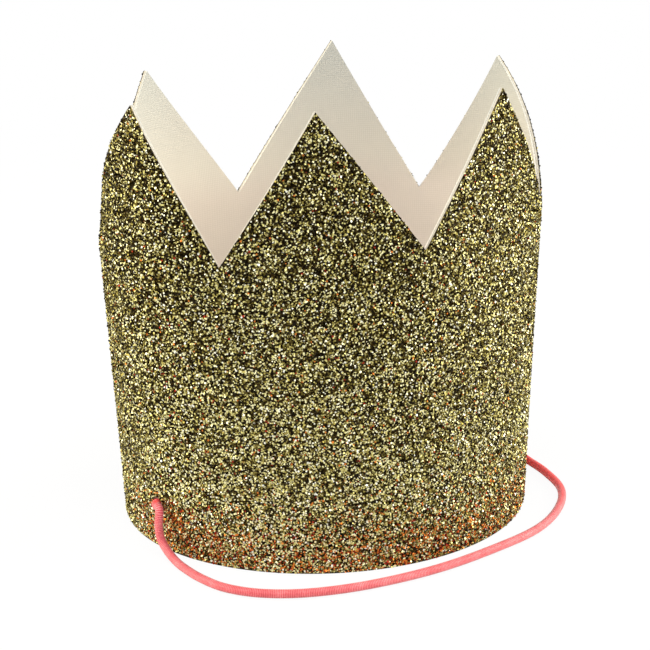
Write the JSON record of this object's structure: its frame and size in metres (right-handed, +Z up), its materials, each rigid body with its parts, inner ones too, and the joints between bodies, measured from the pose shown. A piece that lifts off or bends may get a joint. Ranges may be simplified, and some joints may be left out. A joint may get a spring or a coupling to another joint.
{
  "type": "party crown",
  "caption": "Small rolled-cloth party crown with pointed top, glitter outside and woven inside, on a round chin elastic.",
  "frame": {"origin": "centre of the crown's box, on the surface that it stands on", "axes": "+Z up; X runs from one elastic hole to the other and is the longest extent; the wearer looks along -Y"},
  "size_m": [0.1202, 0.1061, 0.115],
  "materials": {
    "glitter": "chunky gold glitter flakes bound on cloth",
    "core": "matt white non-woven stiffener",
    "weave": "matt cream plain weave",
    "glue": "clear hot-melt glue",
    "elastic": "coral braided thread over rubber, fine cross ribs"
  },
  "bodies": {
    "crown": {"glitter_face": "glitter", "white_core": "core", "woven_backing": "weave", "seam_glue": "glue"},
    "elastic": {"chin_elastic": "elastic", "left_knot": "elastic", "right_knot": "elastic"}
  },
  "joints": [
    {"name": "elastic_swing", "type": "hinge", "parent": "crown", "child": "elastic", "pos_m": [0, 0, 0.0121], "axis": [1, 0, 0], "range_deg": [-10, 170]}
  ]
}
